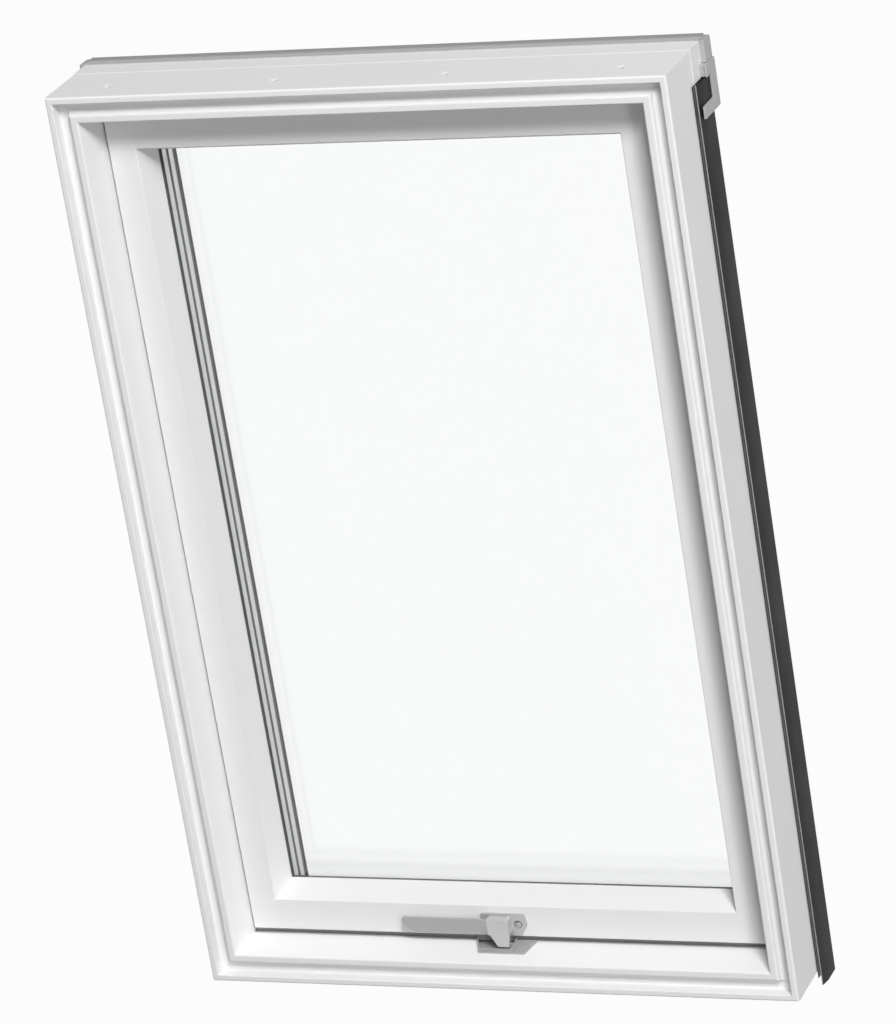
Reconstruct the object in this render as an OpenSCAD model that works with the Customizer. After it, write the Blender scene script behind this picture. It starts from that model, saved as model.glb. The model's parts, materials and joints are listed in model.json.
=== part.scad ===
// Centre-pivot roof window: a white welded frame, a triple-glazed sash that turns on
// two friction hinges at mid-height, and a lever handle with a keep on the sill.
// The room side faces -Y, the weather side faces +Y and Z runs up the roof slope.
// Sections are drawn as [distance in from the outer edge, depth from the room face].

/* [Frame] */
// Overall width of the frame
frame_w = 780; // [550:1:1140]
// Overall height of the frame
frame_h = 1180; // [780:1:1400]
// Depth of the white frame from its room face to its back
frame_d = 118; // [104:0.5:136]
// Wall thickness of the hollow frame profile
frame_wall = 3; // [2:0.1:3.5]
// Width of the outer rim on the room face
rim_w = 8.4; // [6:0.1:10]
// Radius of the rim's outer edge
rim_r = 2.5; // [1:0.1:4]
// Depth of the lining groove behind the rim
groove_d = 17; // [15:0.5:20]
// Width of the groove's flat floor
groove_floor = 7.6; // [4:0.1:9]
// Radius of the cove between the groove and the lip
cove_r = 8; // [5:0.1:9]
// Radius of the lip's crest
crest_r = 3; // [1:0.1:4]
// Face width of the frame at the lip
lip_w = 35; // [33:0.5:38]
// Radius of the lip's inner edge
lip_r = 2.5; // [1:0.1:3]
// Face width of the frame beside the closed sash
reveal_w = 44; // [42:0.5:48]
// Length of the raised band at the back of the outer faces
step_band = 32; // [20:0.5:34]
// Height of that band
step_h = 0.8; // [0.4:0.1:1.5]
// Distance that the drained sill rebate lies below the reveal
sill_drop = 7.5; // [6:0.5:9]
// Distance that the sill rebate starts behind the sash's room face
sill_behind = 7; // [5:0.5:8]

/* [Fixing holes] */
// Distance of the outer screw holes from the frame's sides
head_hole_inset = 66; // [50:1:90]
// Distance of the screw holes ahead of the sash
head_hole_ahead = 8; // [7:0.5:12]
// Radius of the screw holes
head_hole_r = 2.75; // [1.5:0.05:4]

/* [Sash] */
// Distance that the sash stands past the back of the frame
sash_proud = 15; // [13:0.5:16]
// Gap between the sash and each jamb
side_gap = 3; // [2.5:0.1:4]
// Gap between the sash and the head
top_gap = 3; // [2:0.1:5]
// Gap between the sash and the sill reveal
bottom_gap = 7.8; // [6:0.1:9]
// Face width of the stiles and the top rail
stile_w = 36; // [34:0.5:40]
// Face width of the bottom rail
bottom_w = 42.4; // [38:0.1:46]
// Depth of the sloped glazing bead
bead_h = 35; // [33:0.5:36]
// Sideways run of the sloped glazing bead
bead_run = 12; // [9:0.5:14]
// Wall thickness of the hollow sash profile
sash_wall = 2.5; // [2:0.1:3]
// Radius of the sash's room-side edges
sash_r = 1.6; // [0.5:0.1:2]
// Height of the bottom rail behind the glass
bottom_rebate = 26; // [24:0.5:30]

/* [Glazing] */
// Thickness of each glass pane
pane_t = 4; // [3:0.5:4]
// Width of each cavity between the panes
cavity_w = 15; // [12:0.5:16]
// Thickness of the butyl between the spacers and the panes
butyl_t = 1.8; // [0.5:0.1:2.5]
// Distance that the butyl bulges past the spacers
butyl_bulge = 0.3; // [0.1:0.1:0.6]
// Height of the spacer bars
spacer_h = 6.5; // [5:0.5:8]
// Width of the edge sealant around the spacers
sealant_w = 3; // [2:0.5:4]
// Gap between the glass edge and the sash
glass_gap = 1.5; // [1:0.1:3]
// Thickness of the gasket between the bead and the glass
gasket_t = 5; // [4.5:0.5:6]
// Thickness of the gasket between the glass and the outer caps
outer_gasket_t = 3; // [2.5:0.5:4]
// Height of the gaskets
gasket_h = 7.4; // [5:0.1:8]
// Length of the two setting blocks under the glass
block_len = 100; // [60:1:120]

/* [Reinforcement] */
// Wall thickness of the steel tubes in the profiles
steel_t = 1.5; // [1:0.1:2]
// Length that the tubes stop short of the outer corners
steel_inset = 62; // [58:1:80]
// Clearance between the tubes and their chambers
steel_fit = 0.15; // [0.1:0.05:0.3]

/* [Hinges] */
// Distance of the pivot axis ahead of the back of the frame
pivot_ahead = 18; // [16:0.5:20]
// Radius of the pivot pins
pin_r = 6; // [4:0.1:7]
// Radial running clearance on the pins
pin_fit = 0.05; // [0.02:0.01:0.1]
// Length of the pins past the frame plates
pin_len = 15; // [12:0.5:18]
// Length of the hinge plates
plate_len = 70; // [50:1:90]
// Width of the hinge plates
plate_w = 26; // [22:1:28]
// Thickness of the hinge plates
plate_t = 1.8; // [1.2:0.1:2]
// Radius of the sash bosses that take the pins
boss_r = 10; // [9:0.5:12]
// Radius of the friction washers
washer_r = 13; // [11:0.5:14]
// Gap on each face of the friction washers
washer_gap = 0.2; // [0.1:0.05:0.3]

/* [Handle] */
// Width of the base plate left of the handle's centre
base_left = 29; // [24:0.5:34]
// Width of the base plate right of the handle's centre
base_right = 32; // [28:0.5:36]
// Height of the base plate
base_h = 29; // [26:0.5:32]
// Thickness of the base plate
base_t = 3; // [2:0.1:3.5]
// Gap between the base plate and the sash's lower edge
base_gap = 3.2; // [1:0.1:5]
// Height of the lever's bar
lever_h = 21.5; // [16:0.5:24]
// Reach of the lever's bar to the left of its pivot
lever_reach = 129; // [90:1:150]
// Thickness of the lever's bar
lever_t = 4; // [3:0.1:5]
// Distance that the bar's room face leans back at its lower edge
bar_lean = 3.4; // [0:0.1:4]
// Gap from the base plate to the back of the bar
finger_gap = 9; // [7:0.5:10]
// Width of the lever's hub block
hub_w = 28; // [24:0.5:32]
// Distance of the hub's right edge from the handle's centre
hub_right = 11; // [8:0.5:14]
// Length of the nose below the hub
nose_len = 15.8; // [12:0.1:16.5]
// Thickness of the nose
nose_t = 5; // [4:0.1:6]
// Radius of the rivet that the lever turns on
rivet_r = 5; // [4:0.1:6]
// Radius of the base plate's screw head
screw_r = 4.7; // [3:0.1:5]

/* [Keep] */
// Width of the keep along its room-side edge
keep_near_w = 62; // [54:0.5:70]
// Width of the keep along its sash-side edge
keep_far_w = 81; // [74:0.5:90]
// Distance from the keep's room-side edge to the sash
keep_ahead = 23; // [21:0.5:27]
// Thickness of the keep plate
keep_t = 2; // [1:0.1:2.5]
// Width of the keep's room-side rim
keep_rim = 6; // [4:0.5:7]
// Width of the keep's rim left of the pocket
keep_edge = 1.2; // [0.8:0.1:3]
// Reach of the keep's pocket right of the handle's centre
pocket_right = 12; // [11.5:0.5:18]
// Wall thickness of the pocket's liner
liner_t = 1; // [0.6:0.1:1.5]

/* [Cladding] */
// Distance that the side covers stand off the frame's sides
cover_off = 6; // [4:0.5:9]
// Thickness of the cladding sheet
sheet_t = 1.2; // [0.8:0.1:1.6]
// Distance that the side covers reach ahead of the back of the frame
cover_ahead = 34; // [30:0.5:40]
// Distance of the fold in the side covers ahead of the back of the frame
fold_ahead = 20; // [14:0.5:26]
// Gap between the frame's back and the cladding's outer face
cover_stand = 8; // [7:0.5:9]
// Distance that the side covers reach below the frame
cover_tail = 22; // [10:1:30]
// Distance that the side covers stop below the top of the frame
cover_top = 40; // [38:1:60]
// Distance that the side covers' room edges lean in
cover_lean = 3; // [1:0.1:3]
// Distance that the dark side strips reach ahead of the back of the frame
strip_ahead = 42; // [36:0.5:46]
// Thickness of the dark side strips
strip_t = 0.9; // [0.5:0.1:0.9]
// Distance that the dark side strips reach below the frame
strip_tail = 8; // [0:1:15]
// Distance that the overlapping covers reach over their neighbours
overlap = 16; // [12:0.5:18]
// Gap between the overlapping covers and what they lap over
lap_gap = 1.4; // [1:0.1:3]
// Width of the overlapping covers that is seated on the sash
overlap_seat = 14; // [10:0.5:18]
// Distance of the overlapping covers from the pivot axis
cover_clear = 115; // [110:1:160]

/* [Head casing] */
// Depth of the head casing behind the frame
casing_d = 24; // [21:0.5:28]
// Height of the head casing's outer wall
casing_h = 59; // [54:1:66]
// Distance that the casing stands above the frame
casing_rise = 2; // [1:0.5:4]
// Height of the casing's end caps
cap_h = 27; // [22:1:30]
// Distance that the end caps stand off the frame's sides
cap_off = 7; // [6.5:0.5:10]
// Height of the corner clips below the end caps
clip_h = 58; // [50:1:64]
// Height of the corner clips' bars
clip_bar = 15; // [12:0.5:18]
// Thickness of the corner clips
clip_t = 3; // [2:0.5:4]
// Reach of the clips' lower bars towards the room
clip_reach = 54; // [44:1:58]
// Width of the clips' upright legs
clip_leg = 18; // [17:0.5:22]
// Width of the seal along the back of the casing
casing_seal_w = 11; // [6:0.5:14]
// Thickness of that seal
casing_seal_t = 1.2; // [0.6:0.1:2]

/* [Seal] */
// Distance of the sash seal behind the sill's edge
seal_behind = 2; // [1.5:0.5:6]
// Distance that the seal hangs below the sash
seal_drop = 11.8; // [8:0.1:12]
// Thickness of the sash seal
seal_t = 5; // [4:0.5:7]
// Gap that the seal leaves to the frame
seal_gap = 0.5; // [0.3:0.1:1]

/* [Hidden] */

$fn = 48;
eps = 0.01;
arc_steps = 6;
mitre_reach = 60;

pvc_white = "#f1f2f2";
steel_grey = "#9aa0a4";
cladding_grey = "#4a4c4e";
casing_grey = "#b9bbbc";
handle_grey = "#a9abac";
rubber_black = "#1c1d1e";

half_w = frame_w / 2;
glass_t = 3 * pane_t + 2 * cavity_w;
sash_half_w = half_w - reveal_w - side_gap;
sash_z0 = reveal_w + bottom_gap;
sash_z1 = frame_h - reveal_w - top_gap;
sash_back = frame_d + sash_proud;
sash_d = sash_back - bead_h - gasket_t - glass_t - outer_gasket_t;
pivot_d = frame_d - pivot_ahead;
pivot_z = (sash_z0 + sash_z1) / 2;

// The bottom rail keeps the stiles' proportions, so that one mitre plane joins them.
rail_ratio = bottom_w / stile_w;
bead_w = stile_w + bead_run;
bottom_bead_w = bead_w * rail_ratio;
bead_back = sash_d + bead_h;

glass_d = bead_back + gasket_t;
glass_inset = stile_w + glass_gap;
glass_low = bottom_rebate + glass_gap;
glass_back = glass_d + glass_t;

// At the bottom the glass runs low over the rail, so the outer caps are narrower there.
cap_low_w = glass_low + sealant_w + 3.5;

step_d = frame_d - step_band;
head_hole_pitch = (frame_w - 2 * head_hole_inset) / 3;
head_hole_d = sash_d - head_hole_ahead;
frame_chamber = [frame_wall, reveal_w - frame_wall - sill_drop];
frame_steel_d = [sash_d - 1, step_d - 2];
lip_slope = atan((reveal_w - lip_w) / (sash_d - crest_d() - lip_r));
sill_floor = reveal_w - sill_drop;
sill_rebate_d = sash_d + sill_behind;
keep_d = sash_d - keep_ahead;

cover_d = frame_d - cover_ahead;
fold_d = frame_d - fold_ahead;
cover_back = frame_d + cover_stand;
strip_d = frame_d - strip_ahead;
seal_d = sill_rebate_d + seal_behind;
cap_face = sash_back;
cap_back = cap_face + sheet_t;
casing_back = frame_d + casing_d;

hub_left = hub_right - hub_w;
base_face = sash_d - base_t;
lever_d = base_face - finger_gap - lever_t;
base_z = sash_z0 + base_gap;
lever_z = base_z + base_h / 2 + 1.5;
lever_top = lever_z + lever_h / 2;
lever_low = lever_z - lever_h / 2;

// Points along an arc, from angle a0 to angle a1
function arc(centre, r, a0, a1) = [
    for (i = [0 : arc_steps])
        centre + r * [cos(a0 + (a1 - a0) * i / arc_steps), sin(a0 + (a1 - a0) * i / arc_steps)]
];

// Depth of the lip's crest below the rim
function crest_d() = groove_d - cove_r - crest_r;

// Outline of the frame profile: rim, lining groove, cove, lip and sloped reveal
function frame_outline() = let (floor_end = rim_w + groove_floor) concat(
    arc([rim_r, rim_r], rim_r, 180, 270),
    arc([rim_w - 1, 1], 1, 270, 360),
    arc([rim_w + 1, groove_d - 1], 1, 180, 90),
    arc([floor_end, groove_d - cove_r], cove_r, 90, 0),
    arc([floor_end + cove_r + crest_r, groove_d - cove_r], crest_r, 180, 270),
    arc([lip_w - lip_r, crest_d() + lip_r], lip_r, 270, 360),
    [[reveal_w, sash_d], [reveal_w, frame_d], [-step_h, frame_d], [-step_h, step_d], [0, step_d]]
);

// Outline of the sash profile: room face, sloped bead and glazing rebate
function sash_outline(face, bead, rebate) = concat(
    arc([sash_r, sash_d + sash_r], sash_r, 180, 270),
    arc([face - sash_r, sash_d + sash_r], sash_r, 270, 335),
    arc([bead - 1, bead_back - 1], 1, 335, 450),
    [[rebate, bead_back], [rebate, sash_back], [0, sash_back]]
);

// A rectangle between two corners of a section
module span(u, d) {
    translate([u[0], d[0]]) square([u[1] - u[0], d[1] - d[0]]);
}

// Brings the room face and the underside to the part's origin
module placed() {
    translate([0, -frame_d / 2, 0]) children();
}

// Extrudes a drawing in X and Z through a range of depths
module through(d0, d1) {
    translate([0, d1, 0]) rotate([90, 0, 0]) linear_extrude(d1 - d0) children();
}

// Runs a section up the left edge of a rectangle
module up_left(half, z0, z1) {
    translate([-half, 0, z0]) linear_extrude(z1 - z0) children();
}

// Runs a section along the lower edge of a rectangle
module along_bottom(half, z0) {
    translate([0, 0, z0]) rotate([0, -90, 0]) linear_extrude(2 * half, center = true) children();
}

// Mirrors a lower piece to the top of a rectangle
module at_top(z0, z1) {
    translate([0, 0, z0 + z1]) mirror([0, 0, 1]) children();
}

// Mitred block that bounds a left member; ratio is the rise of its lower mitre
module side_wedge(half, z0, z1, ratio) {
    run = mitre_reach;
    through(-eps, casing_back) polygon([
        [-half - mitre_reach, z0 - mitre_reach * ratio], [-half - mitre_reach, z1 + mitre_reach],
        [-half + run, z1 - run], [-half + run, z0 + run * ratio]
    ]);
}

// Mitred block that bounds a lower member
module bottom_wedge(half, z0, ratio) {
    run = mitre_reach;
    through(-eps, casing_back) polygon([
        [-half - run, z0 - run * ratio], [half + run, z0 - run * ratio],
        [half - run, z0 + run * ratio], [-half + run, z0 + run * ratio]
    ]);
}

// Frame members
module frame_section(full) {
    difference() {
        polygon(frame_outline());
        span([frame_wall, lip_w - frame_wall], [groove_d + frame_wall, sash_d - 4]);
        span(frame_chamber, frame_steel_d);
        span([frame_wall, frame_chamber[1]], [step_d + 1, frame_d - frame_wall]);
        if (full)
            span([frame_chamber[1] + frame_wall, reveal_w - frame_wall],
                [sash_d + frame_wall, frame_d - frame_wall]);
    }
}

module frame_upright() {
    intersection() {
        up_left(half_w, -step_h, frame_h + step_h) frame_section(true);
        side_wedge(half_w, 0, frame_h, 1);
    }
}

module frame_jamb() {
    difference() {
        frame_upright();
        hinge_recess(-half_w + reveal_w - plate_t, plate_t + 1);
    }
}

module frame_jamb_left() color(pvc_white) placed() frame_jamb();
module frame_jamb_right() color(pvc_white) placed() mirror([1, 0, 0]) frame_jamb();

module frame_head() {
    color(pvc_white) placed() difference() {
        at_top(0, frame_h) intersection() {
            along_bottom(half_w + step_h, 0) frame_section(true);
            bottom_wedge(half_w, 0, 1);
        }
        for (i = [-1.5 : 1.5])
            translate([i * head_hole_pitch, head_hole_d, frame_h - frame_wall - 1])
                cylinder(r = head_hole_r, h = frame_wall + 2);
    }
}

module frame_sill() {
    color(pvc_white) placed() difference() {
        intersection() {
            along_bottom(half_w + step_h, 0) frame_section(false);
            bottom_wedge(half_w, 0, 1);
        }
        translate([-half_w + reveal_w, sill_rebate_d, sill_floor])
            cube([frame_w - 2 * reveal_w, frame_d, reveal_w]);
        translate([0, 0, sill_floor]) linear_extrude(reveal_w) pocket_plan(0, sill_rebate_d + 1);
    }
}

// Steel tubes in the chambers of the frame and the sash
module steel_section(u, d) {
    difference() {
        span([u[0] + steel_fit, u[1] - steel_fit], [d[0] + steel_fit, d[1] - steel_fit]);
        span([u[0] + steel_fit + steel_t, u[1] - steel_fit - steel_t],
            [d[0] + steel_fit + steel_t, d[1] - steel_fit - steel_t]);
    }
}

module frame_steel_upright() {
    up_left(half_w, steel_inset, frame_h - steel_inset) steel_section(frame_chamber, frame_steel_d);
}

module frame_steel_level() {
    along_bottom(half_w - steel_inset, 0) steel_section(frame_chamber, frame_steel_d);
}

module frame_steel_left() color(steel_grey) placed() frame_steel_upright();
module frame_steel_right() color(steel_grey) placed() mirror([1, 0, 0]) frame_steel_upright();
module frame_steel_sill() color(steel_grey) placed() frame_steel_level();
module frame_steel_head() color(steel_grey) placed() at_top(0, frame_h) frame_steel_level();

// Hinges
module hinge_recess(x, depth) {
    translate([x, pivot_d - plate_w / 2, pivot_z - plate_len / 2]) cube([depth, plate_w, plate_len]);
}

module along_x(x, r, len) {
    translate([x, pivot_d, pivot_z]) rotate([0, 90, 0]) cylinder(r = r, h = len);
}

module hinge_frame() {
    face = -half_w + reveal_w;
    union() {
        hinge_recess(face - plate_t, plate_t);
        along_x(face - plate_t, pin_r, plate_t + pin_len);
    }
}

module hinge_frame_left() color(steel_grey) placed() hinge_frame();
module hinge_frame_right() color(steel_grey) placed() mirror([1, 0, 0]) hinge_frame();

module hinge_sash() {
    difference() {
        union() {
            hinge_recess(-sash_half_w, plate_t);
            along_x(-sash_half_w, boss_r, pin_len);
        }
        along_x(-sash_half_w - 1, pin_r + pin_fit, pin_len + 2);
    }
}

module hinge_sash_left() color(steel_grey) placed() hinge_sash();
module hinge_sash_right() color(steel_grey) placed() mirror([1, 0, 0]) hinge_sash();

module hinge_washer() {
    difference() {
        along_x(-sash_half_w - side_gap + washer_gap, washer_r, side_gap - 2 * washer_gap);
        along_x(-sash_half_w - side_gap - 1, pin_r + pin_fit, side_gap + 2);
    }
}

module hinge_washers() {
    color("#b08d45") placed() {
        hinge_washer();
        mirror([1, 0, 0]) hinge_washer();
    }
}

// Sash members
module sash_section(face, bead, rebate) {
    difference() {
        polygon(sash_outline(face, bead, rebate));
        span([sash_wall, face - 3], [sash_d + 3, bead_back - 3]);
        span([sash_wall, rebate - sash_wall], [bead_back + 2, sash_back - 3]);
    }
}

module sash_stile() {
    difference() {
        intersection() {
            up_left(sash_half_w, sash_z0, sash_z1) sash_section(stile_w, bead_w, stile_w);
            side_wedge(sash_half_w, sash_z0, sash_z1, rail_ratio);
        }
        hinge_recess(-sash_half_w - 1, plate_t + 1);
        along_x(-sash_half_w - 1, boss_r + 0.1, pin_len + 1.2);
    }
}

module sash_stile_left() color(pvc_white) placed() sash_stile();
module sash_stile_right() color(pvc_white) placed() mirror([1, 0, 0]) sash_stile();

module sash_top_rail() {
    color(pvc_white) placed() at_top(sash_z0, sash_z1) intersection() {
        along_bottom(sash_half_w, sash_z0) sash_section(stile_w, bead_w, stile_w);
        bottom_wedge(sash_half_w, sash_z0, 1);
    }
}

module sash_bottom_rail() {
    color(pvc_white) placed() difference() {
        intersection() {
            along_bottom(sash_half_w, sash_z0) sash_section(bottom_w, bottom_bead_w, bottom_rebate);
            bottom_wedge(sash_half_w, sash_z0, rail_ratio);
        }
        screw_hole(sash_d - 1, sash_d + 4);
    }
}

module sash_steel_upright() {
    up_left(sash_half_w, sash_z0 + steel_inset, sash_z1 - steel_inset)
        steel_section([sash_wall, stile_w - 3], [sash_d + 3, bead_back - 3]);
}

module sash_steel_level(face) {
    along_bottom(sash_half_w - steel_inset, sash_z0)
        steel_section([sash_wall, face - 3], [sash_d + 3, bead_back - 3]);
}

module sash_steel_left() color(steel_grey) placed() sash_steel_upright();
module sash_steel_right() color(steel_grey) placed() mirror([1, 0, 0]) sash_steel_upright();
module sash_steel_bottom() color(steel_grey) placed() sash_steel_level(bottom_w);
module sash_steel_top() color(steel_grey) placed() at_top(sash_z0, sash_z1) sash_steel_level(stile_w);

// Glazing: a rectangle inset from the sash's outline, with its own inset at the bottom
module sash_rect(inset, low) {
    translate([-sash_half_w + inset, sash_z0 + low])
        square([2 * (sash_half_w - inset), sash_z1 - sash_z0 - inset - low]);
}

module sash_ring(outer, outer_low, inner, inner_low) {
    difference() {
        sash_rect(outer, outer_low);
        sash_rect(inner, inner_low);
    }
}

module pane(index) {
    d0 = glass_d + index * (pane_t + cavity_w);
    color("#dfe8ea", 0.35) placed() through(d0, d0 + pane_t) sash_rect(glass_inset, glass_low);
}

module pane_inner() pane(0);
module pane_middle() pane(1);
module pane_outer() pane(2);

module in_cavity(index, inset) {
    d0 = glass_d + pane_t + index * (pane_t + cavity_w);
    through(d0 + inset, d0 + cavity_w - inset) children();
}

module spacer(index) {
    outer = glass_inset + sealant_w;
    low = glass_low + sealant_w;
    color("#c4c6c7") placed() in_cavity(index, butyl_t)
        sash_ring(outer, low, outer + spacer_h, low + spacer_h);
}

module spacer_inner() spacer(0);
module spacer_outer() spacer(1);

module butyl_seals() {
    outer = glass_inset + sealant_w;
    low = glass_low + sealant_w;
    h = spacer_h + butyl_bulge;
    color(rubber_black) placed() for (index = [0, 1]) difference() {
        in_cavity(index, 0) sash_ring(outer, low, outer + h, low + h);
        in_cavity(index, butyl_t) sash_ring(0, 0, outer + h + 1, low + h + 1);
    }
}

module edge_sealant() {
    color(rubber_black) placed() for (index = [0, 1])
        in_cavity(index, 0)
            sash_ring(glass_inset, glass_low, glass_inset + sealant_w, glass_low + sealant_w);
}

module setting_blocks() {
    color(rubber_black) placed() for (side = [-1, 1])
        translate([side * sash_half_w / 2 - block_len / 2, glass_d, sash_z0 + bottom_rebate])
            cube([block_len, glass_back - glass_d, glass_gap]);
}

module gasket_inner() {
    outer = bead_w - 0.6 - gasket_h;
    low = bottom_bead_w - 0.6 - gasket_h;
    color(rubber_black) placed() through(bead_back, glass_d)
        sash_ring(outer, low, outer + gasket_h, low + gasket_h);
}

module gasket_outer() {
    color(rubber_black) placed() through(glass_back, sash_back)
        sash_ring(glass_inset + 1, glass_low + 1, bead_w - 2, cap_low_w - 2);
}

// Weather seal around the sash, taller below where the sill drains
module sash_seal() {
    color(rubber_black) placed() through(seal_d, seal_d + seal_t)
        sash_ring(seal_gap - side_gap, -seal_drop, 0, 0);
}

// Aluminium caps that hold the glass from outside
module glazing_cap_section(bead) {
    polygon([
        [0.5, cap_face], [bead - 2, cap_face], [bead + 0.4, cap_face - 2], [bead + 1.3, cap_face - 1.1],
        [bead - 1.2, cap_back], [0.5, cap_back]
    ]);
}

module glazing_cap_upright() {
    intersection() {
        up_left(sash_half_w, sash_z0, sash_z1) glazing_cap_section(bead_w);
        side_wedge(sash_half_w, sash_z0, sash_z1, cap_low_w / bead_w);
    }
}

module glazing_cap_left() color(cladding_grey) placed() glazing_cap_upright();
module glazing_cap_right() color(cladding_grey) placed() mirror([1, 0, 0]) glazing_cap_upright();

module glazing_cap_level(bead, ratio) {
    intersection() {
        along_bottom(sash_half_w, sash_z0) glazing_cap_section(bead);
        bottom_wedge(sash_half_w, sash_z0, ratio);
    }
}

module glazing_cap_bottom() color(cladding_grey) placed() glazing_cap_level(cap_low_w, cap_low_w / bead_w);
module glazing_cap_top() {
    color(cladding_grey) placed() at_top(sash_z0, sash_z1) glazing_cap_level(bead_w, 1);
}

// Lower covers ride on the sash and lap over the frame's cladding
module lap_section() {
    reach = side_gap + overlap;
    span([-reach, overlap_seat], [cap_back, cap_back + sheet_t]);
    span([-reach, sheet_t - reach], [cover_back + lap_gap, cap_back + sheet_t]);
}

module lower_cover() {
    up_left(sash_half_w, sash_z0 + overlap_seat, pivot_z - cover_clear) lap_section();
}

module lower_cover_left() color(cladding_grey) placed() lower_cover();
module lower_cover_right() color(cladding_grey) placed() mirror([1, 0, 0]) lower_cover();
module bottom_cover() {
    color(cladding_grey) placed() along_bottom(sash_half_w + side_gap + overlap, sash_z0) lap_section();
}

// Frame cladding: side covers, dark strips, sill cover and the upper covers
module side_cover_section() {
    inner = reveal_w - side_gap;
    edge = cover_lean - cover_off;
    polygon([
        [edge, cover_d], [-cover_off, fold_d], [-cover_off, cover_back],
        [inner, cover_back], [inner, frame_d], [inner - sheet_t, frame_d],
        [inner - sheet_t, cover_back - sheet_t], [sheet_t - cover_off, cover_back - sheet_t],
        [sheet_t - cover_off, fold_d], [edge + sheet_t, cover_d]
    ]);
}

module side_cover() {
    up_left(half_w, -cover_tail, frame_h - cover_top) side_cover_section();
}

module side_cover_left() color(cladding_grey) placed() side_cover();
module side_cover_right() color(cladding_grey) placed() mirror([1, 0, 0]) side_cover();

module side_strip() {
    outer = step_h + strip_t;
    up_left(half_w, -strip_tail, frame_h - cover_top) span([-outer, -step_h], [strip_d, frame_d]);
}

module side_strip_left() color(rubber_black) placed() side_strip();
module side_strip_right() color(rubber_black) placed() mirror([1, 0, 0]) side_strip();

module sill_cover() {
    seat = sill_floor - 4;
    color(cladding_grey) placed() along_bottom(half_w - reveal_w + side_gap - 0.3, 0) union() {
        span([-cover_tail, reveal_w - side_gap], [cover_back - sheet_t, cover_back]);
        span([seat - sheet_t, seat], [frame_d, cover_back]);
        span([-cover_tail, sheet_t - cover_tail], [frame_d + 2, cover_back]);
    }
}

module upper_cover() {
    seat = reveal_w - side_gap - overlap;
    back = cap_back + lap_gap;
    up_left(half_w, pivot_z + cover_clear, sash_z1 - overlap_seat) union() {
        span([seat, reveal_w + side_gap + overlap_seat], [back, back + sheet_t]);
        span([seat, seat + sheet_t], [cover_back, back + sheet_t]);
    }
}

module upper_cover_left() color(cladding_grey) placed() upper_cover();
module upper_cover_right() color(cladding_grey) placed() mirror([1, 0, 0]) upper_cover();

// Head casing with its end caps and corner clips
module head_casing() {
    top = frame_h + casing_rise;
    color(casing_grey) placed() along_bottom(half_w, top) union() {
        span([-sheet_t, 0], [frame_d, casing_back]);
        span([-casing_h, 0], [casing_back - sheet_t, casing_back]);
        span([-cover_top, 0], [frame_d, frame_d + sheet_t]);
    }
}

module casing_seal() {
    color("#7d8082") placed() along_bottom(half_w, frame_h + casing_rise)
        span([0, casing_seal_t], [casing_back - casing_seal_w, casing_back]);
}

module beside(x0, x1) {
    translate([x0, 0, 0]) rotate([90, 0, 90]) linear_extrude(x1 - x0) children();
}

module casing_cap() {
    top = frame_h + casing_rise;
    r = 3;
    beside(half_w, half_w + cap_off) polygon(concat(
        [[frame_d, top - cap_h], [casing_back, top - cap_h]],
        arc([casing_back - r, top - r], r, 0, 90),
        arc([frame_d + 1, top - 1], 1, 90, 180)
    ));
}

module casing_cap_right() color(casing_grey) placed() casing_cap();
module casing_cap_left() color(casing_grey) placed() mirror([1, 0, 0]) casing_cap();

module corner_clip() {
    top = frame_h + casing_rise - cap_h;
    beside(half_w + cover_off, half_w + cover_off + clip_t) union() {
        span([casing_back - clip_leg, casing_back], [top - clip_h, top]);
        span([casing_back - clip_reach, casing_back], [top - clip_h, top - clip_h + clip_bar]);
        span([frame_d - 8, casing_back], [top - clip_bar, top]);
    }
}

module corner_clip_right() color(casing_grey) placed() corner_clip();
module corner_clip_left() color(casing_grey) placed() mirror([1, 0, 0]) corner_clip();

// Handle on the bottom rail
module screw_hole(d0, d1) {
    x = base_right - 12;
    through(d0, d1) translate([x, lever_z - 1]) circle(r = 2.1);
}

module handle_base() {
    top = base_z + base_h;
    mid = base_z + base_h / 2;
    color(handle_grey) placed() difference() {
        through(base_face, sash_d) polygon([
            [-base_left, base_z], [base_right - 9, base_z], [base_right, mid],
            [base_right - 2, top - 2], [base_right - 4, top], [-base_left + 2, top], [-base_left, top - 2]
        ]);
        screw_hole(base_face - 1, sash_d + 1);
    }
}

module handle_screw() {
    x = base_right - 12;
    color(handle_grey) placed() union() {
        through(base_face - 2, base_face) translate([x, lever_z - 1]) circle(r = screw_r);
        through(base_face, sash_d + 2.5) translate([x, lever_z - 1]) circle(r = 2);
    }
}

module handle_rivet() {
    color(steel_grey) placed() through(lever_d + 4, base_face) translate([0, lever_z]) circle(r = rivet_r);
}

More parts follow.
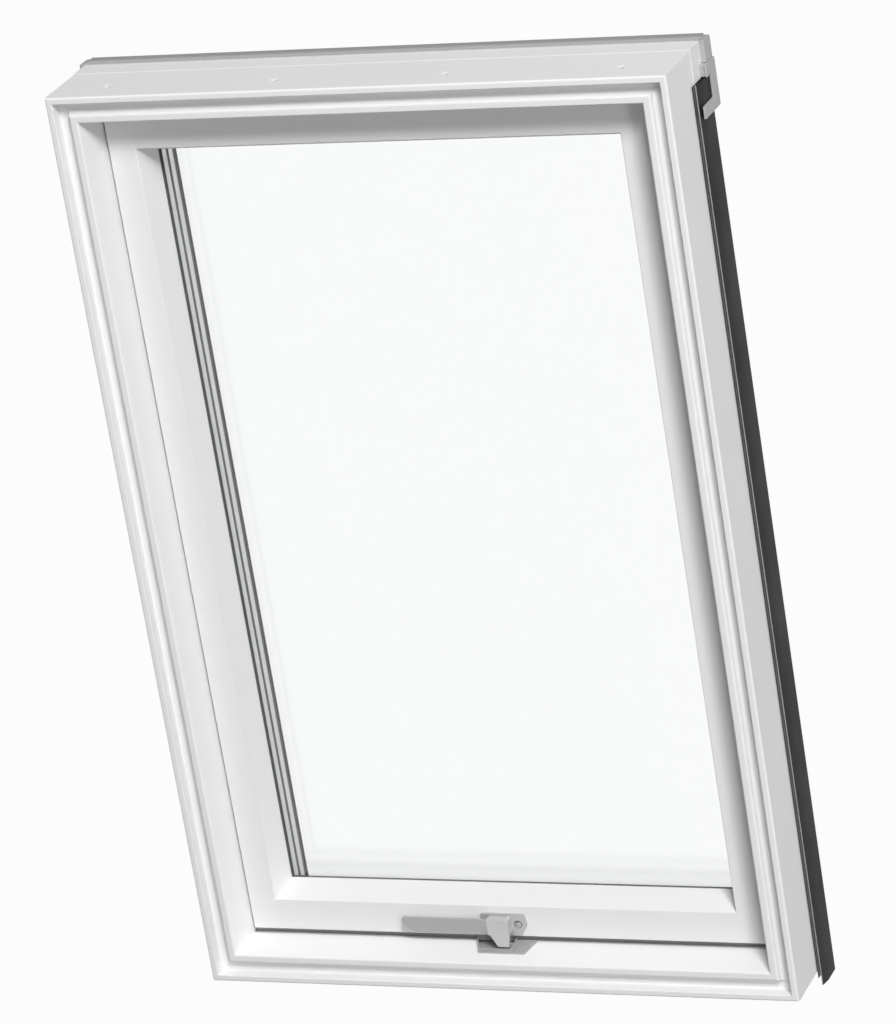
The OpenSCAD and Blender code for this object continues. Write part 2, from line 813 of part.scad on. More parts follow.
// One cast piece: bar with a leaning face, hub block over the rivet, and nose
module handle_lever() {
    r = 3.5;
    nose_low = lever_low - nose_len;
    color(handle_grey) placed() difference() {
        union() {
            intersection() {
                through(lever_d, base_face) polygon([
                    [-lever_reach, lever_top], [-lever_reach - 1.5, lever_top - 3],
                    [-lever_reach - 1.5, lever_low + 10], [-lever_reach + 11, lever_low],
                    [hub_left + 1, lever_low], [hub_left + 1, lever_top]
                ]);
                beside(-lever_reach - 2, hub_left + 1) polygon([
                    [lever_d, lever_top], [lever_d + bar_lean, lever_low],
                    [lever_d + lever_t + bar_lean / 2, lever_low], [lever_d + lever_t, lever_top]
                ]);
            }
            through(lever_d, base_face - 0.2) polygon(concat(
                [[hub_left, lever_top], [hub_left, lever_low], [hub_right, lever_low]],
                arc([hub_right - r, lever_top - r], r, 0, 90)
            ));
            through(lever_d, lever_d + nose_t) polygon([
                [hub_left + 3, lever_low], [hub_left + 11, nose_low],
                [hub_right - 2.5, nose_low], [hub_right, lever_low]
            ]);
        }
        through(lever_d + 3, base_face) translate([0, lever_z]) circle(r = rivet_r + pin_fit);
    }
}

// Keep on the sloped sill, with a lined pocket for the nose
module on_sill() {
    translate([0, keep_d, reveal_w - keep_ahead * tan(lip_slope)]) rotate([lip_slope, 0, 0]) children();
}

// Left edge of the keep at a depth
function keep_left(d) = -keep_near_w / 2 - (d - keep_d) * (keep_far_w - keep_near_w) / 2 / keep_ahead;

// Plan of the pocket, whose left side follows the keep's edge
module pocket_plan(inset, far) {
    near = keep_d + keep_rim + inset;
    left = keep_edge + inset;
    polygon([
        [keep_left(near) + left, near], [pocket_right - inset, near],
        [pocket_right - inset, far], [keep_left(far) + left, far]
    ]);
}

module keep_plate() {
    len = keep_ahead / cos(lip_slope);
    color(handle_grey) placed() difference() {
        on_sill() linear_extrude(keep_t) polygon([
            [-keep_near_w / 2, 0], [keep_near_w / 2, 0], [keep_far_w / 2, len], [-keep_far_w / 2, len]
        ]);
        linear_extrude(frame_h / 2) pocket_plan(0, sill_rebate_d);
    }
}

module keep_liner() {
    color(handle_grey) placed() difference() {
        translate([0, 0, sill_floor]) linear_extrude(reveal_w) pocket_plan(0, sill_rebate_d);
        translate([0, 0, sill_floor + liner_t])
            linear_extrude(reveal_w) pocket_plan(liner_t, sill_rebate_d + 1);
        on_sill() translate([-frame_w / 2, -frame_d, keep_t]) cube([frame_w, 2 * frame_d, frame_h]);
    }
}

frame_head();
frame_sill();
frame_jamb_left();
frame_jamb_right();
frame_steel_head();
frame_steel_sill();
frame_steel_left();
frame_steel_right();
hinge_frame_left();
hinge_frame_right();
keep_plate();
keep_liner();
side_strip_left();
side_strip_right();
side_cover_left();
side_cover_right();
sill_cover();
upper_cover_left();
upper_cover_right();
head_casing();
casing_seal();
casing_cap_left();
casing_cap_right();
corner_clip_left();
corner_clip_right();
sash_top_rail();
sash_bottom_rail();
sash_stile_left();
sash_stile_right();
sash_steel_top();
sash_steel_bottom();
sash_steel_left();
sash_steel_right();
pane_inner();
pane_middle();
pane_outer();
spacer_inner();
spacer_outer();
butyl_seals();
edge_sealant();
setting_blocks();
gasket_inner();
gasket_outer();
sash_seal();
glazing_cap_top();
glazing_cap_bottom();
glazing_cap_left();
glazing_cap_right();
lower_cover_left();
lower_cover_right();
bottom_cover();
hinge_sash_left();
hinge_sash_right();
hinge_washers();
handle_base();
handle_rivet();
handle_screw();
handle_lever();
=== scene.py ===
"""Looks of the roof window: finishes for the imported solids, softened fittings, studio and camera."""
import json
from math import atan2, radians, sin

import bmesh
import bpy
from mathutils import Matrix, Vector


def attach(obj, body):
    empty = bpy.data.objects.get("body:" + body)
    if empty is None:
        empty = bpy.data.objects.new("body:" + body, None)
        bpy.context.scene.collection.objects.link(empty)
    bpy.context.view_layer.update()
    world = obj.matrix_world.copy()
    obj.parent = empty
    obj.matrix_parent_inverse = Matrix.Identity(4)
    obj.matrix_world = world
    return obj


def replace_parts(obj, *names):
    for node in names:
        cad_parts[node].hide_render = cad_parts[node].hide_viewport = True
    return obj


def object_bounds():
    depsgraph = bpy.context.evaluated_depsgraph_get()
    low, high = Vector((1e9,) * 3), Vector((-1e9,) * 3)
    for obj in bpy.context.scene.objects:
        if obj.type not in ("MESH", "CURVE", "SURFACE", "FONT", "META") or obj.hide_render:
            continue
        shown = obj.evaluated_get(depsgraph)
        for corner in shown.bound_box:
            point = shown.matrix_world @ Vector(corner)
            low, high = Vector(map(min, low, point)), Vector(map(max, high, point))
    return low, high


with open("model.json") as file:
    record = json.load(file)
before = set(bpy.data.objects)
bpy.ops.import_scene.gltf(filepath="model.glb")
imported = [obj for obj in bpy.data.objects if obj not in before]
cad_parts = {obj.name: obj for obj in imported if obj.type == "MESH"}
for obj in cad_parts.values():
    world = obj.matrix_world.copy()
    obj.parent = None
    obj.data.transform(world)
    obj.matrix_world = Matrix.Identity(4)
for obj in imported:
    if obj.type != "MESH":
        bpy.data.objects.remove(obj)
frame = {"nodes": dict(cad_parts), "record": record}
cad_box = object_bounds()
nodes = frame["nodes"]
record = frame["record"]
body_of = {n: b for b, names in record["behaviour"]["bodies"].items() for n in names}
slot_of = {p["node"]: p["material_slot"] for p in record["subparts"]}

# Sizes are in millimetres. Depths run from the room face outward, heights from the frame's underside.
MM = 0.001
FRAME_D = 118
ROOM_Y = -FRAME_D / 2
HUB_LEFT = -17            # where the lever's bar ends and its hub begins
SEAL_LIGHT_BORDER = 80         # the seal's bottom run lies below this; it is painted paler there as painted light in the gap, darker above as painted shade

SHEET_ROUND = 0.25        # rounding of edges
CASING_ROUND = 0.3
FITTING_ROUND = 0.35
CLIP_ROUND = 0.6
CAP_ROUND = 0.8

MOUTH_R = 8.0             # cone at the mouth of each hole in the head
MOUTH_DEEP = 1.8
STEP_D = 86               # step in the head's top face, and how far its edge leans back
STEP_SLOPE = 2.5

COVER_D = 84              # pale strip on the room side of each side cover: a painted highlight
COVER_HIGHLIGHT_X = (391.8, 393)
COVER_HIGHLIGHT_Z = (-21.5, 1139.5)
COVER_HIGHLIGHT_T = 0.3
COVER_HIGHLIGHT_ROUND = 0.1

TAB_X = (390.8, 396)      # tab that joins a corner clip to the frame
TAB_Z = (1141, 1155)
TAB_D = (109, FRAME_D)
TAB_ROUND = 0.4

BASE_FACE = 45            # screw in the handle's base plate
BASE_SCREW = (20, 70)
BASE_SCREW_R = 4.5
BASE_SCREW_H = 1.7
SHADE_RING_R = 5.1
SHADE_RING_T = 0.3

PIVOT_D = 100             # screws in the hinge plates
PIVOT_Z = 592.4
PLATE_SCREW_RISE = 26
FRAME_PLATE_X = 346
SASH_PLATE_X = 343
PLATE_SCREW_H = 0.6

SCREW_R = 3.4             # screws in the outer covers
COVER_SCREW_H = 1.8
UPPER_COVER_X = 357
UPPER_COVER_FACE = 136.8
UPPER_SCREW_Z = (730, 915, 1100)
LOWER_COVER_X = 353
LOWER_COVER_FACE = 135.4
LOWER_SCREW_Z = (90, 270, 455)
SILL_COVER_FACE = 126
SILL_SCREW_X = (-300, 0, 300)
SILL_SCREW_Z = 8

TOUCH = 0.05 * MM         # corners nearer than this are taken as the same place
SMOOTH_ANGLE = radians(40)
SHARP_ANGLE = radians(30)
FLAT_ANGLE = radians(0.5)


def at(x, depth, z):
    """A point in metres from millimetres across, behind the room face and above the underside."""
    return Vector((x, depth + ROOM_Y, z)) * MM


# Node groups

def new_group(name, inputs, outputs):
    group = bpy.data.node_groups.new(name, "ShaderNodeTree")
    for label, kind, value in inputs:
        socket = group.interface.new_socket(label, in_out="INPUT", socket_type=kind)
        socket.default_value = value
    for label, kind in outputs:
        group.interface.new_socket(label, in_out="OUTPUT", socket_type=kind)
    return group, group.nodes.new("NodeGroupInput"), group.nodes.new("NodeGroupOutput")


def add(tree, kind, **values):
    """Adds a node and sets its attributes; input values are given in a dict called inputs."""
    inputs = values.pop("inputs", {})
    n = tree.nodes.new(kind)
    for key, value in values.items():
        setattr(n, key, value)
    for key, value in inputs.items():
        n.inputs[key].default_value = value
    return n


def mottle_group():
    """Slow cloudy change of colour and gloss, as on a moulded or coated face."""
    group, given, out = new_group("cloudy_face", [
        ("Colour", "NodeSocketColor", (0.8, 0.8, 0.8, 1)), ("Shade", "NodeSocketColor", (0.7, 0.7, 0.7, 1)),
        ("Scale", "NodeSocketFloat", 6.0), ("Dull", "NodeSocketFloat", 0.4), ("Bright", "NodeSocketFloat", 0.3),
    ], [("Colour", "NodeSocketColor"), ("Roughness", "NodeSocketFloat")])
    place = add(group, "ShaderNodeTexCoord")
    cloud = add(group, "ShaderNodeTexNoise", inputs={"Detail": 5.0, "Roughness": 0.6})
    speck = add(group, "ShaderNodeTexNoise", inputs={"Scale": 260.0, "Detail": 2.0})
    blend = add(group, "ShaderNodeMix", data_type="FLOAT", inputs={"Factor": 0.3})
    tint = add(group, "ShaderNodeMix", data_type="RGBA")
    gloss = add(group, "ShaderNodeMapRange", inputs={"From Min": 0.3, "From Max": 0.7})
    link = group.links.new
    link(place.outputs["Object"], cloud.inputs["Vector"])
    link(place.outputs["Object"], speck.inputs["Vector"])
    link(given.outputs["Scale"], cloud.inputs["Scale"])
    link(cloud.outputs["Fac"], blend.inputs["A"])
    link(speck.outputs["Fac"], blend.inputs["B"])
    link(blend.outputs["Result"], tint.inputs["Factor"])
    link(given.outputs["Colour"], tint.inputs["A"])
    link(given.outputs["Shade"], tint.inputs["B"])
    link(cloud.outputs["Fac"], gloss.inputs["Value"])
    link(given.outputs["Bright"], gloss.inputs["To Min"])
    link(given.outputs["Dull"], gloss.inputs["To Max"])
    link(tint.outputs["Result"], out.inputs["Colour"])
    link(gloss.outputs["Result"], out.inputs["Roughness"])
    return group


def grain_group():
    """Fine relief; Stretch draws it out along an axis, as brushing or extrusion does."""
    group, given, out = new_group("fine_relief", [
        ("Scale", "NodeSocketFloat", 800.0), ("Stretch", "NodeSocketVector", (1, 1, 1)),
        ("Detail", "NodeSocketFloat", 2.0),
    ], [("Height", "NodeSocketFloat")])
    place = add(group, "ShaderNodeTexCoord")
    drawn = add(group, "ShaderNodeMapping")
    noise = add(group, "ShaderNodeTexNoise")
    link = group.links.new
    link(place.outputs["Object"], drawn.inputs["Vector"])
    link(given.outputs["Stretch"], drawn.inputs["Scale"])
    link(drawn.outputs["Vector"], noise.inputs["Vector"])
    link(given.outputs["Scale"], noise.inputs["Scale"])
    link(given.outputs["Detail"], noise.inputs["Detail"])
    link(noise.outputs["Fac"], out.inputs["Height"])
    return group


def border_group():
    """One colour in two painted shades, on the two sides of a border across an axis."""
    group, given, out = new_group("painted_shade_sides", [
        ("Colour", "NodeSocketColor", (0.8, 0.8, 0.8, 1)), ("Axis", "NodeSocketVector", (1, 0, 0)),
        ("Border", "NodeSocketFloat", 0.0), ("Below", "NodeSocketFloat", 1.0), ("Above", "NodeSocketFloat", 1.0),
    ], [("Colour", "NodeSocketColor")])
    place = add(group, "ShaderNodeTexCoord")
    along = add(group, "ShaderNodeVectorMath", operation="DOT_PRODUCT")
    start = add(group, "ShaderNodeMath", operation="SUBTRACT", inputs={1: 0.1 * MM})
    side = add(group, "ShaderNodeMapRange")
    shade = add(group, "ShaderNodeVectorMath", operation="SCALE")
    link = group.links.new
    link(place.outputs["Object"], along.inputs[0])
    link(given.outputs["Axis"], along.inputs[1])
    link(given.outputs["Border"], start.inputs[0])
    link(along.outputs["Value"], side.inputs["Value"])
    link(start.outputs["Value"], side.inputs["From Min"])
    link(given.outputs["Border"], side.inputs["From Max"])
    link(given.outputs["Below"], side.inputs["To Min"])
    link(given.outputs["Above"], side.inputs["To Max"])
    link(given.outputs["Colour"], shade.inputs[0])
    link(side.outputs["Result"], shade.inputs["Scale"])
    link(shade.outputs["Vector"], out.inputs["Colour"])
    return group


cloudy_face = mottle_group()
fine_relief = grain_group()
painted_shade_sides = border_group()


# Finishes

def grey(value, warm=0.0):
    return (value * (1 + warm), value, value * (1 - warm), 1)


def finish(name, colour, shade, dull, bright, scale=6.0, grain=800.0, stretch=(1, 1, 1), relief=0.05,
           metallic=0.0, coat=0.0, specular=0.5):
    """A surface with cloudy colour and gloss over a fine relief."""
    mat = bpy.data.materials.new(name)
    mat.use_nodes = True
    tree = mat.node_tree
    surface = tree.nodes["Principled BSDF"]
    face = add(tree, "ShaderNodeGroup", node_tree=cloudy_face, inputs={
        "Colour": colour, "Shade": shade, "Scale": scale, "Dull": dull, "Bright": bright})
    fine = add(tree, "ShaderNodeGroup", node_tree=fine_relief, inputs={
        "Scale": grain, "Stretch": stretch, "Detail": 3.0})
    bump = add(tree, "ShaderNodeBump", inputs={"Strength": relief, "Distance": 0.0005})
    link = tree.links.new
    link(face.outputs["Colour"], surface.inputs["Base Color"])
    link(face.outputs["Roughness"], surface.inputs["Roughness"])
    link(fine.outputs["Height"], bump.inputs["Height"])
    link(bump.outputs["Normal"], surface.inputs["Normal"])
    surface.inputs["Metallic"].default_value = metallic
    surface.inputs["Specular IOR Level"].default_value = specular
    surface.inputs["Coat Weight"].default_value = coat
    surface.inputs["Coat Roughness"].default_value = 0.15
    return mat


def paint_shade_split(mat, axis, border, below, above):
    """Paints a finish darker or paler on the two sides of a border across an axis, as painted light and shade."""
    tree = mat.node_tree
    base = tree.nodes["Principled BSDF"].inputs["Base Color"]
    cloudy = base.links[0].from_socket
    shades = add(tree, "ShaderNodeGroup", node_tree=painted_shade_sides, inputs={
        "Axis": axis, "Border": border * MM, "Below": below, "Above": above})
    tree.links.new(cloudy, shades.inputs["Colour"])
    tree.links.new(shades.outputs["Colour"], base)
    return mat


def rubber(name, colour, shade, scale=60.0, relief=0.2):
    return finish(name, colour, shade, dull=0.75, bright=0.6, scale=scale, grain=1500.0, relief=relief,
                  specular=0.3)


def satin_silver(name, colour, shade):
    """Fine brushing along the lever."""
    return finish(name, colour, shade, dull=0.42, bright=0.32, scale=60.0, grain=900.0, stretch=(0.08, 1, 1),
                  relief=0.06, metallic=0.3)


def clear_glass(name):
    """Float glass that lets the lamps' light through."""
    mat = bpy.data.materials.new(name)
    mat.use_nodes = True
    tree = mat.node_tree
    surface = tree.nodes["Principled BSDF"]
    surface.inputs["Base Color"].default_value = (0.99, 0.995, 0.993, 1)
    surface.inputs["Roughness"].default_value = 0.0
    surface.inputs["IOR"].default_value = 1.5
    surface.inputs["Transmission Weight"].default_value = 1.0
    path = add(tree, "ShaderNodeLightPath")
    lamp_ray = add(tree, "ShaderNodeMath", operation="MAXIMUM")
    open_way = add(tree, "ShaderNodeBsdfTransparent", inputs={"Color": (0.97, 0.98, 0.975, 1)})
    mixed = add(tree, "ShaderNodeMixShader")
    link = tree.links.new
    link(path.outputs["Is Shadow Ray"], lamp_ray.inputs[0])
    link(path.outputs["Is Diffuse Ray"], lamp_ray.inputs[1])
    link(lamp_ray.outputs["Value"], mixed.inputs["Fac"])
    link(surface.outputs["BSDF"], mixed.inputs[1])
    link(open_way.outputs["BSDF"], mixed.inputs[2])
    link(mixed.outputs["Shader"], tree.nodes["Material Output"].inputs["Surface"])
    return mat


FINISHES = {
    "white_pvc": finish("white_plastic", grey(0.88), grey(0.84, 0.004), dull=0.52, bright=0.42, scale=5.0,
                        grain=900.0, relief=0.02, coat=0.04, specular=0.35),
    "steel": finish("zinc_plate", grey(0.62), grey(0.5, 0.01), dull=0.42, bright=0.28, scale=40.0, grain=500.0,
                    stretch=(0.1, 1, 1), relief=0.08, metallic=1.0),
    "dark_cladding": finish("dark_powder_coat", grey(0.015), grey(0.011), dull=0.6, bright=0.48, scale=9.0,
                            grain=1600.0, relief=0.12, specular=0.22),
    "grey_casing": finish("grey_powder_coat", grey(0.55), grey(0.50), dull=0.5, bright=0.38, scale=9.0,
                          grain=1600.0, relief=0.1),
    "grey_rubber": rubber("grey_seal", grey(0.35), grey(0.31), scale=40.0, relief=0.15),
    "grey_plastic": finish("grey_moulding", grey(0.46), grey(0.40), dull=0.5, bright=0.4, scale=30.0,
                           grain=1200.0, relief=0.1),
    "dark_plastic": finish("dark_moulding", grey(0.03), grey(0.022), dull=0.55, bright=0.45, scale=30.0,
                           grain=1200.0, relief=0.1),
    "clear_glass": clear_glass("float_glass"),
    "spacer_metal": finish("mill_spacer", grey(0.72), grey(0.62), dull=0.4, bright=0.28, scale=50.0, grain=600.0,
                           stretch=(1, 1, 0.05), relief=0.06, metallic=0.9),
    "black_rubber": rubber("black_gasket", grey(0.045), grey(0.035)),
    "washer_brass": finish("washer_brass", (0.6, 0.44, 0.2, 1), (0.5, 0.35, 0.14, 1), dull=0.45, bright=0.3,
                           scale=60.0, grain=600.0, relief=0.08, metallic=1.0),
    "handle_metal": satin_silver("satin_silver", grey(0.56), grey(0.50)),
}

# Finishes of single pieces: the lever's bar is painted darker than its hub as painted shade for its face turning
# from the light, and the sash seal's bottom run is painted paler as painted light in the gap under the sash, its
# side runs darker as painted shade
LEVER_PAINTED_SHADE_FINISH = paint_shade_split(satin_silver("satin_silver_lever_painted_shade", grey(0.62), grey(0.56)),
                        axis=(1, 0, 0), border=HUB_LEFT, below=0.78, above=1.0)
KEEP_FINISH = satin_silver("satin_silver_keep", grey(0.46), grey(0.41))
GASKET_FINISH = rubber("grey_gasket", grey(0.13), grey(0.105))
# Sash seal: a paler bottom run is painted light in the gap under the sash, and darker side runs are painted shade
SEAL_PAINTED_LIGHT_FINISH = paint_shade_split(rubber("sash_seal_painted_light", grey(0.40), grey(0.35)),
                       axis=(0, 0, 1), border=SEAL_LIGHT_BORDER, below=1.0, above=0.15)
NODE_FINISHES = {"gasket_inner": GASKET_FINISH, "gasket_outer": GASKET_FINISH, "butyl_seals": GASKET_FINISH,
                 "sash_seal": SEAL_PAINTED_LIGHT_FINISH}

for node_name, obj in nodes.items():
    for slot in obj.material_slots:
        slot.material = NODE_FINISHES.get(node_name, FINISHES[slot_of[node_name]])


# Pieces

def add_piece(name, bm, body, slot):
    """Makes an object of a mesh, rides it on a body and gives it a slot's finish."""
    bmesh.ops.recalc_face_normals(bm, faces=bm.faces)
    mesh = bpy.data.meshes.new(name)
    bm.to_mesh(mesh)
    bm.free()
    mesh.shade_smooth()
    mesh.set_sharp_from_angle(angle=SMOOTH_ANGLE)
    mesh.materials.append(FINISHES[slot])
    obj = bpy.data.objects.new(name, mesh)
    bpy.context.scene.collection.objects.link(obj)
    normals = obj.modifiers.new("flat_faces", "WEIGHTED_NORMAL")
    normals.keep_sharp = True
    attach(obj, body)
    return obj


def soften(bm, width, segments=3):
    """Rounds every sharp edge."""
    sharp = [e for e in bm.edges if e.is_manifold and e.calc_face_angle(0) > SHARP_ANGLE]
    bmesh.ops.bevel(bm, geom=sharp, offset=width * MM, offset_type="OFFSET", segments=segments, profile=0.5,
                    affect="EDGES", clamp_overlap=True, material=-1)


def solid_of(node):
    """A node's solid as a mesh of joined flat faces."""
    bm = bmesh.new()
    bm.from_mesh(nodes[node].data)
    bmesh.ops.remove_doubles(bm, verts=bm.verts, dist=1e-6)
    bmesh.ops.dissolve_limit(bm, angle_limit=FLAT_ANGLE, verts=bm.verts, edges=bm.edges)
    return bm


def softened(node, width):
    """The solid of a node in the node's place, smooth, with its edges rounded if a width is given."""
    bm = solid_of(node)
    if width:
        soften(bm, width)
    obj = add_piece("soft_" + node, bm, body_of[node], slot_of[node])
    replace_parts(obj, node)
    return obj


def screw_head(bm, radius, height):
    """Domed head with a cross recess, standing on the XY plane; shares are of the radius and the height."""
    wall, recess_rim, recess_deep = 0.5, 0.02, 0.7
    dome = ((0.14, 0.28), (0.22, 0.16), (0.12, 0.06))
    diagonal, waist = 0.6, 0.45
    foot = bmesh.ops.create_circle(bm, cap_ends=True, radius=radius, segments=24)["verts"]
    face = foot[0].link_faces[0]
    raised = bmesh.ops.extrude_face_region(bm, geom=[face])["geom"]
    top = next(g for g in raised if isinstance(g, bmesh.types.BMFace))
    bmesh.ops.translate(bm, vec=(0, 0, height * wall), verts=top.verts)

    def inset(share):
        bmesh.ops.inset_region(bm, faces=[top], thickness=radius * share, use_even_offset=True)

    for share, rise in dome:
        inset(share)
        bmesh.ops.translate(bm, vec=(0, 0, height * rise), verts=top.verts)
    inset(recess_rim)
    for v in top.verts:
        if abs(sin(2 * atan2(v.co.y, v.co.x))) > diagonal:
            v.co.xy *= waist
    inset(recess_rim)
    bmesh.ops.translate(bm, vec=(0, 0, -height * recess_deep), verts=top.verts)


def screws(name, places, normal, radius, height, body, slot):
    """Screw heads that stand on a face at some places."""
    bm = bmesh.new()
    turn = Vector(normal).to_track_quat("Z", "Y").to_matrix().to_4x4()
    for place in places:
        one = bmesh.new()
        screw_head(one, radius * MM, height * MM)
        bmesh.ops.transform(one, matrix=Matrix.Translation(place) @ turn, verts=one.verts)
        part = bpy.data.meshes.new(name)
        one.to_mesh(part)
        one.free()
        bm.from_mesh(part)
        bpy.data.meshes.remove(part)
    return add_piece(name, bm, body, slot)


def shade_disc(name, place, normal, radius, height, body, slot):
    """A thin round disc under a screw head, painted shade for the ring of shadow at its foot."""
    bm = bmesh.new()
    bmesh.ops.create_cone(bm, cap_ends=True, segments=32, radius1=radius * MM, radius2=radius * MM,
                          depth=height * MM)
    bmesh.ops.translate(bm, vec=(0, 0, height * MM / 2), verts=bm.verts)
    turn = Vector(normal).to_track_quat("Z", "Y").to_matrix().to_4x4()
    bmesh.ops.transform(bm, matrix=Matrix.Translation(place) @ turn, verts=bm.verts)
    return add_piece(name, bm, body, slot)


def head_with_sinks():
    """The head, with shallow cones at the mouths of its screw holes and a sloped step in its top face."""
    bm = solid_of("frame_head")
    for mount in record["mounts"]:
        if mount["kind"] != "bolt_pattern":
            continue
        middle, pitch = Vector(mount["pos_m"]), mount["dims"]["spacing_x_mm"] * MM
        hole = mount["dims"]["hole_r_mm"] * MM
        wider = MOUTH_R * MM / hole
        for side in (-1, 1):
            axis = middle + Vector((pitch / 2 * side, 0, 0))
            rim = [v for v in bm.verts if abs((v.co - axis).length - hole) < TOUCH]
            walls = {f for v in rim for f in v.link_faces if abs(f.normal.z) < 0.1}
            edges = {e for f in walls for e in f.edges}
            corners = {v for f in walls for v in f.verts}
            bmesh.ops.bisect_plane(bm, geom=[*walls, *edges, *corners], plane_no=(0, 0, 1),
                                   plane_co=axis - Vector((0, 0, MOUTH_DEEP * MM)))
            bmesh.ops.scale(bm, vec=(wider, wider, 1), space=Matrix.Translation(-axis), verts=rim)
    top, step_y = max(v.co.z for v in bm.verts), (STEP_D + ROOM_Y) * MM
    edge = [v for v in bm.verts if top - v.co.z < TOUCH and abs(v.co.y - step_y) < TOUCH]
    bmesh.ops.translate(bm, vec=(0, STEP_SLOPE * MM, 0), verts=edge)
    obj = add_piece("head_with_sinks", bm, body_of["frame_head"], "white_pvc")
    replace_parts(obj, "frame_head")


def block(name, low, high, round_edge, body, slot):
    """A small block between two corners with rounded edges."""
    bm = bmesh.new()
    bmesh.ops.create_cube(bm, size=1.0)
    bmesh.ops.scale(bm, vec=high - low, verts=bm.verts)
    bmesh.ops.translate(bm, vec=(low + high) / 2, verts=bm.verts)
    soften(bm, round_edge, 2)
    return add_piece(name, bm, body, slot)


# White members keep their edges and get smooth coves; fittings and sheets get rounded edges.
SIDES = ((-1, "left"), (1, "right"))

head_with_sinks()
for node_name in nodes:
    if slot_of[node_name] == "white_pvc" and node_name != "frame_head":
        softened(node_name, 0)
for _, name in SIDES:
    softened("side_cover_" + name, SHEET_ROUND)
    softened("casing_cap_" + name, CAP_ROUND)
    softened("corner_clip_" + name, CLIP_ROUND)
    softened("upper_cover_" + name, SHEET_ROUND)
    softened("lower_cover_" + name, SHEET_ROUND)
    softened("glazing_cap_" + name, SHEET_ROUND)
for node_name in ("glazing_cap_top", "glazing_cap_bottom", "bottom_cover", "sill_cover"):
    softened(node_name, SHEET_ROUND)
softened("head_casing", CASING_ROUND)
softened("casing_seal", CASING_ROUND)
softened("handle_base", FITTING_ROUND)
softened("handle_lever", FITTING_ROUND).data.materials[0] = LEVER_PAINTED_SHADE_FINISH
softened("keep_plate", FITTING_ROUND).data.materials[0] = KEEP_FINISH

# Pale strip along the room side of each side cover, a painted highlight for the glint on its rounded edge, and a
# tab that joins each corner clip to the frame
for side, name in SIDES:
    near, far = sorted(x * side for x in COVER_HIGHLIGHT_X)
    block("side_cover_highlight_strip_" + name, at(near, COVER_D - COVER_HIGHLIGHT_T, COVER_HIGHLIGHT_Z[0]),
          at(far, COVER_D, COVER_HIGHLIGHT_Z[1]), COVER_HIGHLIGHT_ROUND, "frame", "grey_plastic")
    near, far = sorted(x * side for x in TAB_X)
    block("corner_clip_tab_" + name, at(near, TAB_D[0], TAB_Z[0]), at(far, TAB_D[1], TAB_Z[1]), TAB_ROUND, "frame",
          "grey_plastic")

# Screws: one in the handle's base plate, two in each hinge plate and three in each outer cover
screw_x, screw_z = BASE_SCREW
to_room, to_weather = (0, -1, 0), (0, 1, 0)
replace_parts(screws("base_plate_screw", [at(screw_x, BASE_FACE - SHADE_RING_T, screw_z)], to_room, BASE_SCREW_R,
                   BASE_SCREW_H, "sash", "steel"), "handle_screw")
# The black disc under the base plate screw is painted shade for the dark ring around its head
shade_disc("base_plate_screw_shade_ring", at(screw_x, BASE_FACE, screw_z), to_room, SHADE_RING_R, SHADE_RING_T, "sash", "black_rubber")
for side, name in SIDES:
    heights = [PIVOT_Z - PLATE_SCREW_RISE, PIVOT_Z + PLATE_SCREW_RISE]
    screws("hinge_frame_screws_" + name, [at(FRAME_PLATE_X * side, PIVOT_D, z) for z in heights], (-side, 0, 0),
           SCREW_R, PLATE_SCREW_H, "frame", "steel")
    screws("hinge_sash_screws_" + name, [at(SASH_PLATE_X * side, PIVOT_D, z) for z in heights], (side, 0, 0),
           SCREW_R, PLATE_SCREW_H, "sash", "steel")
    screws("upper_cover_screws_" + name, [at(UPPER_COVER_X * side, UPPER_COVER_FACE, z) for z in UPPER_SCREW_Z],
           to_weather, SCREW_R, COVER_SCREW_H, "frame", "dark_cladding")
    screws("lower_cover_screws_" + name, [at(LOWER_COVER_X * side, LOWER_COVER_FACE, z) for z in LOWER_SCREW_Z],
           to_weather, SCREW_R, COVER_SCREW_H, "sash", "dark_cladding")
screws("sill_cover_screws", [at(x, SILL_COVER_FACE, SILL_SCREW_Z) for x in SILL_SCREW_X], to_weather, SCREW_R,
       COVER_SCREW_H, "frame", "dark_cladding")


# Studio: distances in metres, lamp power in watts
FLOOR_HALF, FLOOR_GAP = 30.0, 0.002
FLOOR_WHITE = 0.97        # how much of the floor's look is plain white
SKY_WHITE = 0.975
AMBIENT = 0.235
LAMP_AWAY = 12.0
MIDDLE = Vector((0, 0, 0.59))


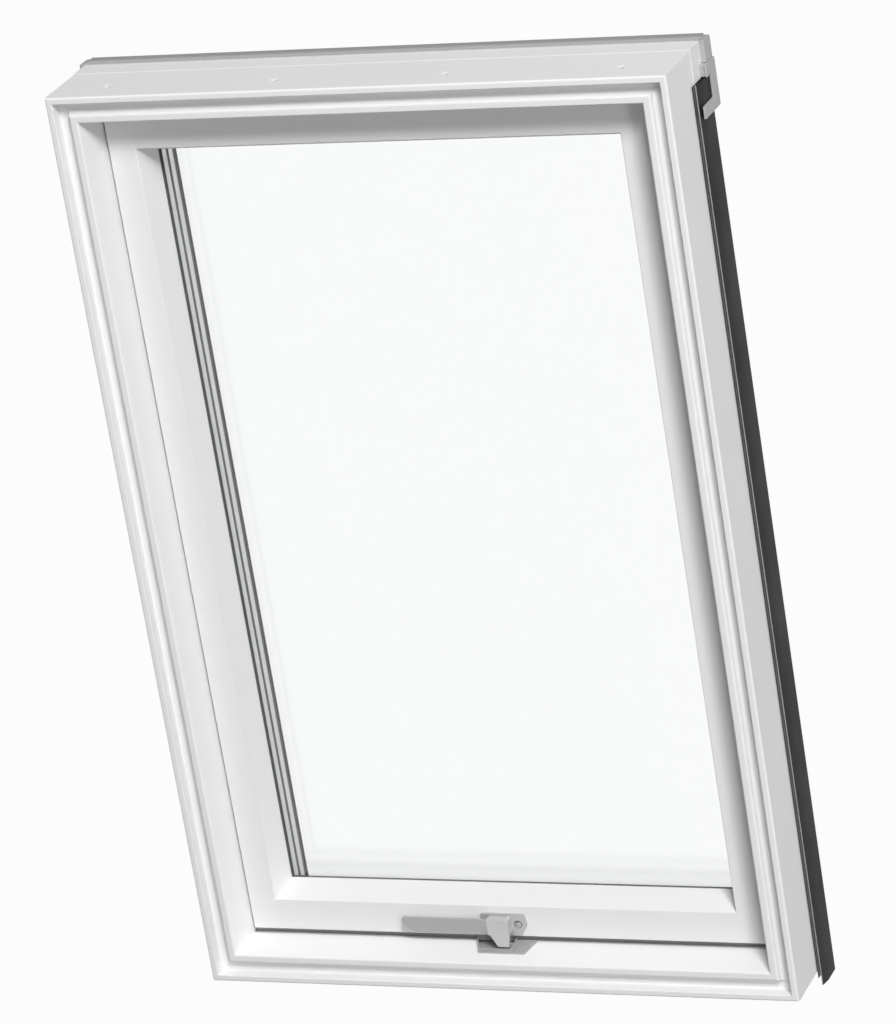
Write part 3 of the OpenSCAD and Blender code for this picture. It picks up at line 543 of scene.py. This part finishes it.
def floor_finish():
    """Pale floor that shows white to the lens and through glass, and still takes a soft shadow."""
    mat = bpy.data.materials.new("pale_floor")
    mat.use_nodes = True
    tree = mat.node_tree
    surface = tree.nodes["Principled BSDF"]
    surface.inputs["Base Color"].default_value = (0.2, 0.2, 0.2, 1)
    surface.inputs["Roughness"].default_value = 0.9
    path = add(tree, "ShaderNodeLightPath")
    seen = add(tree, "ShaderNodeMath", operation="MAXIMUM")
    any_seen = add(tree, "ShaderNodeMath", operation="MAXIMUM")
    share = add(tree, "ShaderNodeMath", operation="MULTIPLY", inputs={1: FLOOR_WHITE})
    white = add(tree, "ShaderNodeEmission", inputs={"Color": (1, 1, 1, 1), "Strength": 1.0})
    mixed = add(tree, "ShaderNodeMixShader")
    link = tree.links.new
    link(path.outputs["Is Camera Ray"], seen.inputs[0])
    link(path.outputs["Is Glossy Ray"], seen.inputs[1])
    link(seen.outputs["Value"], any_seen.inputs[0])
    link(path.outputs["Is Transmission Ray"], any_seen.inputs[1])
    link(any_seen.outputs["Value"], share.inputs[0])
    link(share.outputs["Value"], mixed.inputs["Fac"])
    link(surface.outputs["BSDF"], mixed.inputs[1])
    link(white.outputs["Emission"], mixed.inputs[2])
    link(mixed.outputs["Shader"], tree.nodes["Material Output"].inputs["Surface"])
    return mat


def make_floor():
    bm = bmesh.new()
    bmesh.ops.create_grid(bm, x_segments=1, y_segments=1, size=FLOOR_HALF)
    bmesh.ops.translate(bm, vec=(0, 0, cad_box[0][2] - FLOOR_GAP), verts=bm.verts)
    mesh = bpy.data.meshes.new("floor")
    bm.to_mesh(mesh)
    bm.free()
    mesh.materials.append(floor_finish())
    floor = bpy.data.objects.new("floor", mesh)
    bpy.context.scene.collection.objects.link(floor)


def make_world():
    """White to the lens and through glass, a dim even light for the rest."""
    world = bpy.data.worlds.new("white_studio")
    bpy.context.scene.world = world
    world.use_nodes = True
    tree = world.node_tree
    background = tree.nodes["Background"]
    background.inputs["Color"].default_value = (1, 1, 1, 1)
    path = add(tree, "ShaderNodeLightPath")
    seen = add(tree, "ShaderNodeMath", operation="MAXIMUM")
    level = add(tree, "ShaderNodeMapRange", inputs={"To Min": AMBIENT, "To Max": SKY_WHITE})
    link = tree.links.new
    link(path.outputs["Is Camera Ray"], seen.inputs[0])
    link(path.outputs["Is Transmission Ray"], seen.inputs[1])
    link(seen.outputs["Value"], level.inputs["Value"])
    link(level.outputs["Result"], background.inputs["Strength"])


def add_lamp(name, direction, size, power):
    """A square lamp in a direction from the window's middle, facing it."""
    lamp = bpy.data.lights.new(name, "AREA")
    lamp.shape = "SQUARE"
    lamp.size = size
    lamp.energy = power
    obj = bpy.data.objects.new(name, lamp)
    away = Vector(direction).normalized()
    obj.location = MIDDLE + away * LAMP_AWAY
    obj.rotation_euler = away.to_track_quat("Z", "Y").to_euler()
    bpy.context.scene.collection.objects.link(obj)


def add_camera():
    """The lens and place that the photo's straight edges give; the camera is rolled a little."""
    lens = bpy.data.cameras.new("camera")
    lens.sensor_width = 36.0
    lens.lens = 177.14
    right = Vector((0.92536, 0.34703, -0.15258))
    up = Vector((0.00209, 0.39781, 0.91747))
    back = Vector((0.37908, -0.84931, 0.36739))
    turn = Matrix((right, up, back)).transposed().to_4x4()
    obj = bpy.data.objects.new("camera", lens)
    obj.matrix_world = Matrix.Translation(at(2307.9, -5085.4, 2846.5)) @ turn
    bpy.context.scene.collection.objects.link(obj)
    bpy.context.scene.camera = obj


make_floor()
make_world()
add_lamp("key", (0.42, -0.585, 0.69), size=3.2, power=1190)
add_lamp("front", (0.65, -0.74, 0.15), size=2.2, power=215)
add_lamp("over", (0.63, -0.1, 0.77), size=2.0, power=80)
add_lamp("back", (-0.45, 0.89, -0.02), size=2.0, power=400)
add_camera()
bpy.context.scene.view_settings.view_transform = "Standard"
